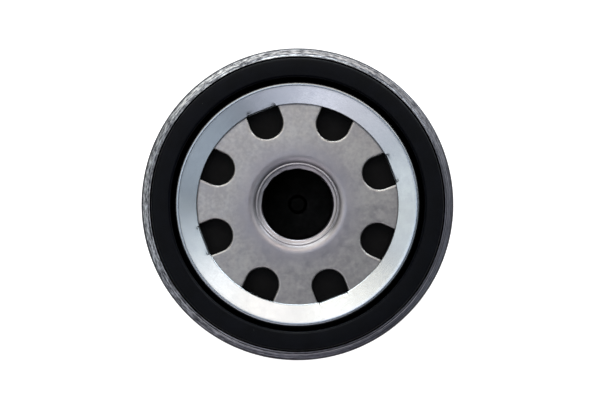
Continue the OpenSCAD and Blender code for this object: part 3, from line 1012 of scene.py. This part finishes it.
def closed_shift(path, distance):
    """Move a closed path to its left, with mitred corners."""
    steps = np.roll(path, -1, 0) - path
    steps = steps / np.linalg.norm(steps, axis=1)[:, None]
    back = np.roll(steps, 1, 0)
    both = steps + back
    left = np.column_stack([-both[:, 1], both[:, 0]])
    return path + distance * left / (1 + (steps * back).sum(1))[:, None]


def make_paper():
    outer_r, low, high = reach("pleated_media")
    inner_r = 17.0
    step = 360 / PLEATS
    corners = []
    for i in range(PLEATS):
        for r, side, bend in ((inner_r + 0.25, -1, 0.36), (outer_r - 0.25, -1, 0.62),
                              (outer_r - 0.25, 1, 0.62), (inner_r + 0.25, 1, 0.36)):
            x, y = at(i * step + side * step / 4, r)
            corners.append((x, y, bend))
    middle = rounded(corners, steps=4)
    levels = np.linspace(low, high, 9)
    faces = [closed_shift(middle, side * PAPER_T / 2) for side in (1, -1)]
    rings = [np.column_stack([faces[0], np.full(len(middle), z)]) for z in levels]
    rings += [np.column_stack([faces[1], np.full(len(middle), z)]) for z in levels[::-1]]
    part = grid(np.stack(rings), wrap_rows=True, wrap_columns=True)
    return piece("pleated_paper", [part], "pleated_media", paper)


make_paper()

# %% [markdown]
# ## Centre tube and clip
#
# The tube is perforated strip rolled into a cylinder, with its holes in staggered rows. One cell
# of it is a curved square with a round hole: rows of points run from the square's border to the
# hole's edge on the outside, through the hole, and back to the border on the inside. Repeating
# the cell and shifting every other row by half of it gives the tube with no boolean.

# %% Centre tube
TUBE_T = 0.5
HOLE_R = 2.2


def tube_cell(turn, z, width, height, r):
    """One cell of the tube: width in degrees, height in millimetres, about a hole."""
    side = np.linspace(-0.5, 0.5, 9)[:-1]
    square = np.vstack([
        np.column_stack([side, np.full(8, -0.5)]), np.column_stack([np.full(8, 0.5), side]),
        np.column_stack([-side, np.full(8, 0.5)]), np.column_stack([np.full(8, -0.5), -side]),
    ]) * (width, height)
    around = np.arctan2(square[:, 1], np.radians(square[:, 0]) * r)
    rows = []
    for radius_at, shares in ((r, (0, 0.35, 0.7, 1)), (r - TUBE_T, (1, 0.7, 0.35, 0))):
        hole = np.column_stack([np.degrees(HOLE_R * np.cos(around) / r), HOLE_R * np.sin(around)])
        for share in shares:
            spot = square + (hole - square) * share
            a = np.radians(spot[:, 0] + turn)
            rows.append(np.column_stack([radius_at * np.cos(a), radius_at * np.sin(a), spot[:, 1] + z]))
    return grid(np.stack(rows), wrap_columns=True)


def make_tube():
    _, low, high = reach("centre_tube")
    height = (high - low) / 7
    parts = [
        tube_cell(30 * column + row % 2 * 15, low + (row + 0.5) * height, 30, height, 16.0)
        for row in range(7)
        for column in range(12)
    ]
    around = np.radians(np.arange(97) * 3.75)
    for z in (low, high):
        parts.append(grid(swept([(16.0, z), (16.0 - TUBE_T, z)], around)))
    return piece("perforated_tube", parts, "centre_tube", black_plate)


make_tube()

# %% [markdown]
# A folded steel clip grips the pleat in which the strip's two ends meet. Seen from its end it is a
# narrow U with rounded bends, so the same sheet helper draws it, stretched up along the axis.

# %% Clip


def make_clip():
    low, high = (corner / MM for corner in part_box("media_clip"))
    back = high.x - 0.15
    half = high.y - 0.15
    path = rounded([(low.x, half, 0), (back, half, 0.35), (back, -half, 0.35), (low.x, -half, 0)],
                   closed=False, steps=6)
    outline = sheet(path, 0.3)
    levels = np.linspace(low.z, high.z, 5)
    walls = np.stack([np.column_stack([outline, np.full(len(outline), z)]) for z in levels])
    half_count = len(outline) // 2
    ends = [grid(np.stack([walls[k][:half_count], walls[k][::-1][:half_count]])) for k in (0, -1)]
    parts = [grid(walls, wrap_columns=True), *ends]
    return piece("paper_clip_strip", parts, "media_clip", tinplate)


make_clip()

# %% [markdown]
# ## Adhesive and compound
#
# Plastisol is poured into each cap, the paper is set down in it, and it cures with a slightly
# wavy surface that creeps up where it touches metal. The seam compound is a bead squeezed
# between the hooks.

# %% Cast rings


def ripple(depth, sign):
    """Uneven cured surface: the free face rises and falls, the face on the cap stays flat."""

    def shape(points):
        x, y, z = np.moveaxis(points, -1, 0)
        free = np.isclose(z, z.max() if sign > 0 else z.min(), atol=0.25)
        wave = np.sin(x * 0.9 + 1.3) * np.sin(y * 0.8 + 0.4) + 0.5 * np.sin(x * 2.1 - y * 1.7)
        points[..., 2] -= np.where(free, sign * depth * (0.5 + 0.33 * wave), 0)
        return points

    return shape


def make_cast():
    for name, node, inner, sign in (
        ("upper_plastisol", "top_potting", 14.2, -1), ("lower_plastisol", "bottom_potting", 13.0, 1)
    ):
        r, low, high = reach(node)
        free = np.linspace(inner + 0.6, r - 0.6, 24)
        under = [(x, low, 0) for x in free] if sign < 0 else []
        over = [(x, high, 0) for x in free[::-1]] if sign > 0 else []
        corners = [(inner, low, 0.3), *under, (r, low, 0.3), (r, high, 0.3), *over, (inner, high, 0.3)]
        part = turned(rounded(corners, steps=4), 240, ripple(0.12, sign))
        piece(name, [part], node, plastisol)
    upper = arc((SEAM_MID, bend_z), 0.62, 150, 30, 12)
    lower = arc((SEAM_MID, bend_z - 0.5), 0.655, 30, 150, 12)
    ring = turned(np.vstack([upper, lower]), 300)
    piece("seam_sealant", [ring], "seam_compound", compound)


make_cast()

# %% [markdown]
# ## The bypass valve
#
# If the paper clogs, the engine must still get oil. A spring holds a steel poppet with a rubber
# washer against a raised seat in the bottom cap, and lets it lift inwards when the pressure
# across the paper grows. The seat and the cage are pressings; the cage's four windows are gaps
# left between turned bands and pillars.

# %% Seat, poppet and washer


def make_bypass():
    r, low, lip = reach("bypass_seat")
    z = low + 0.35
    path = np.vstack([[[r, z]], [[8.2, z]], arc((7.25, z + 0.9), 0.9, -90, -180, 8), [[6.35, lip]]])
    piece("bypass_seat_ring", [turned(sheet(path, 0.7), 160)], "bypass_seat", black_plate)
    disc_r, low, tip = reach("bypass_poppet")
    corners = [(0.01, low, 0), (4.4, low, 0.2), (4.4, low + 0.8, 0.05), (disc_r, low + 0.8, 0.15),
               (disc_r, low + 1.6, 0.2), (3.6, low + 1.6, 0.3), (3.6, low + 2.8, 0.25),
               (2.45, low + 3.3, 0.2), (2.45, tip - 0.6, 0.15), (1.85, tip, 0.2), (0.01, tip, 0)]
    body = turned(rounded(corners), 120)
    piece("bypass_plunger", [body], "bypass_poppet", turned_steel)
    r, low, high = reach("bypass_seal")
    washer = rounded([(4.45, low, 0.12), (r, low, 0.2), (r, high, 0.12), (4.45, high, 0.12)])
    piece("bypass_washer", [turned(washer, 160)], "bypass_seal", gasket_rubber)


make_bypass()

# %% [markdown]
# The cage is turned as bands: the flange and the wall below the windows, the wall between them
# left out in four places, and the crown above. The four pillars that are left are strips whose
# columns line up with both bands.

# %% Cage


def make_cage():
    flange_r, low, high = reach("bypass_cage")
    z = low + 0.3
    wall = 9.9
    top_z = high - 0.3
    lower = rounded([(flange_r, z, 0), (wall, z, 0.7), (wall, z + 3.0, 0)], closed=False)
    upper = np.vstack([[[wall, top_z - 2.7]], arc((wall - 1, top_z - 1), 1, 0, 90, 8), [[2.52, top_z]]])
    window = math.degrees(math.asin(4.0 / wall))
    gap_turns = np.linspace(-window, window, 17)
    pillar_turns = np.linspace(window, 90 - window, 21)
    quarter = np.concatenate([gap_turns[:-1], pillar_turns[:-1]])
    angles = np.radians(np.concatenate([quarter + 90 * k for k in range(4)] + [[360 - window]]))
    parts = []
    for path, rim in ((lower, 0), (upper, -1)):
        faces = [shifted(path, side * 0.3) for side in (1, -1)]
        parts += [grid(swept(face, angles)) for face in faces]
        parts.append(grid(swept([face[rim] for face in faces], angles)))
    bottom, ceiling = lower[-1, 1], upper[0, 1]
    heights = np.linspace(bottom, ceiling, 9)
    sides = [np.column_stack([np.full(9, r), heights]) for r in (wall - 0.3, wall + 0.3)]
    for k in range(4):
        pillar = np.radians(pillar_turns + 90 * k)
        gap = np.radians(gap_turns + 90 * k)
        parts += [grid(swept(side, pillar)) for side in sides]
        for edge in (pillar[0], pillar[-1]):
            parts.append(grid(np.concatenate([swept(side, [edge]) for side in sides])))
        for edge in (bottom, ceiling):
            parts.append(grid(swept([(wall - 0.3, edge), (wall + 0.3, edge)], gap)))
    return piece("bypass_cage_pressing", parts, "bypass_cage", black_plate)


make_cage()

# %% [markdown]
# ## The springs
#
# Both springs are closed at their ends: the last turn lies dead against its neighbour. A curve
# with a bevel would do, but a computed tube lets the ends be closed and the pitch change
# smoothly where the dead turns begin. Each spring is given the bodies at its two ends, but it
# stays fixed and does not shorten as the joint moves.

# %% Springs


def coil(r, wire, turns, low, high):
    steps, sides = 72, 16
    u = np.linspace(0, turns, int(turns * steps) + 1)
    dead = 1.15 * wire
    rise = high - low - wire
    pitch = (rise - 2 * dead) / (turns - 2)
    marks = [0, 0.85, 1.15, turns - 1.15, turns - 0.85, turns]
    speed = np.interp(u, marks, [dead, dead, pitch, pitch, dead, dead])
    z = np.concatenate([[0], np.cumsum((speed[1:] + speed[:-1]) / 2 * np.diff(u))])
    z = low + wire / 2 + z * rise / z[-1]
    turn, across = 2 * np.pi * u[:, None], np.linspace(0, 2 * np.pi, sides, endpoint=False)[None, :]
    out = r + wire / 2 * np.cos(across)
    tube = np.stack([out * np.cos(turn), out * np.sin(turn), z[:, None] + wire / 2 * np.sin(across)], -1)
    caps = [grid(np.stack([tube[end], np.repeat(tube[end].mean(0)[None], sides, 0)]), wrap_columns=True)
            for end in (0, -1)]
    return [grid(tube, wrap_columns=True), *caps]


def make_springs():
    _, low, high = reach("support_spring")
    ends = ("housing", "element", level(low), level(high))
    parts = coil(17.0, 1.8, 3.5, low, high)
    piece("element_support_spring", parts, "support_spring", wire_steel, ends)
    _, low, high = reach("bypass_spring")
    ends = ("poppet", "element", level(low), level(high))
    parts = coil(4.8, 0.9, 7, low, high)
    piece("bypass_return_spring", parts, "bypass_spring", wire_steel, ends)
    rim_r, low, high = reach("spring_cup")
    z = high - 0.25
    path = np.vstack([
        [[rim_r, z], [15.7, z], [15.3, z - 0.4]], arc((14.7, z - 1.6), 0.6, 0, -90, 6),
        [[8.0, low + 0.25]],
    ])
    piece("spring_seat_cup", [turned(sheet(path, 0.5), 200)], "spring_cup", tinplate)


make_springs()

# %% [markdown]
# ## The studio
#
# The filter stands on a white light table, which keeps its own shadow off the floor. The table
# lies a twentieth of a millimetre under the foot, so that no two faces share a plane. The camera
# hangs on the filter's axis. Soft boxes stand round it: satin metal shows the light that lies
# opposite to its slope, so boxes towards +Y brighten the near side of the dished ring. The two
# lowest boxes are the strongest, because only steep edges see them.

# %% Floor and room


def make_floor():
    mesh = bpy.data.meshes.new("floor")
    corners = [(x, y, -0.05 * MM) for x, y in ((-3, -3), (3, -3), (3, 3), (-3, 3))]
    mesh.from_pydata(corners, [], [(0, 1, 2, 3)])
    floor = bpy.data.objects.new("floor", mesh)
    bpy.context.scene.collection.objects.link(floor)
    white = finish_of(
        "white_light_table", Roughness=0.6, Base_Color="#f4f4f4",
        Emission_Color="#ffffff", Emission_Strength=1.0,
    )[0]
    mesh.materials.append(white)


def make_room():
    world = bpy.data.worlds.new("room")
    bpy.context.scene.world = world
    world.use_nodes = True
    tree = world.node_tree
    tree.nodes.clear()
    seen = add(tree, "LightPath")
    dim = add(tree, "Background", Color="#ffffff", Strength=0.008)
    bright = add(tree, "Background", Color="#ffffff", Strength=1.0)
    both = add(tree, "MixShader", {0: seen, 1: dim, 2: bright})
    output = tree.nodes.new("ShaderNodeOutputWorld")
    tree.links.new(both, output.inputs["Surface"])


make_floor()
make_room()

# %% Lights and camera
target = np.array([0, 0, plate_top * MM])


def soft_box(azimuth, tilt, watts, colour, size=0.36, distance=0.9):
    """A square lamp aimed at the plate: azimuth from +X, tilt away from straight above."""
    a, t = math.radians(azimuth), math.radians(tilt)
    way = np.array([math.sin(t) * math.cos(a), math.sin(t) * math.sin(a), math.cos(t)])
    name = f"soft_box_{tilt}_{azimuth}"
    lamp = bpy.data.lights.new(name, "AREA")
    lamp.shape = "SQUARE"
    lamp.size = size
    lamp.energy = watts
    lamp.color = linear(colour)[:3]
    box = bpy.data.objects.new(name, lamp)
    bpy.context.scene.collection.objects.link(box)
    box.location = target + way * distance
    box.rotation_euler = Vector(way).to_track_quat("Z", "Y").to_euler()


# Azimuth and tilt in degrees, strength in watts, colour.
LAMPS = [
    (135, 12, 0.473, "#e3eeff"),
    (120, 30, 0.505, "#fff1d9"),
    (180, 30, 0.367, "#fffef5"),
    (210, 30, 0.166, "#e8f2ff"),
    (240, 30, 0.299, "#fff5f5"),
    (270, 30, 0.345, "#f5f4ff"),
    (330, 30, 0.257, "#ebf5ff"),
    (30, 30, 0.395, "#f6fcff"),
    (60, 30, 0.552, "#fff0e0"),
    (90, 30, 0.363, "#fff5ee"),
    (120, 50, 1.247, "#fafff9"),
    (45, 68, 2.285, "#f4fdff"),
    (90, 68, 2.593, "#f8ffff"),
]
for lamp in LAMPS:
    soft_box(*lamp)

camera_data = bpy.data.cameras.new("camera")
camera = bpy.data.objects.new("camera", camera_data)
bpy.context.scene.collection.objects.link(camera)
camera_data.lens = 150
camera_data.sensor_width = 36
camera_data.shift_x = 0.0042
camera_data.shift_y = 0.0072
camera_data.clip_start = 0.01
camera_data.clip_end = 20
camera.location = (0, 0, 0.699)
camera.rotation_euler = (0, 0, 0)
bpy.context.scene.camera = camera

scene = bpy.context.scene
scene.view_settings.view_transform = "Standard"
scene.view_settings.look = "None"
scene.view_settings.exposure = 0.0
scene.view_settings.gamma = 1.0
print("camera at", tuple(round(v, 3) for v in camera.location))
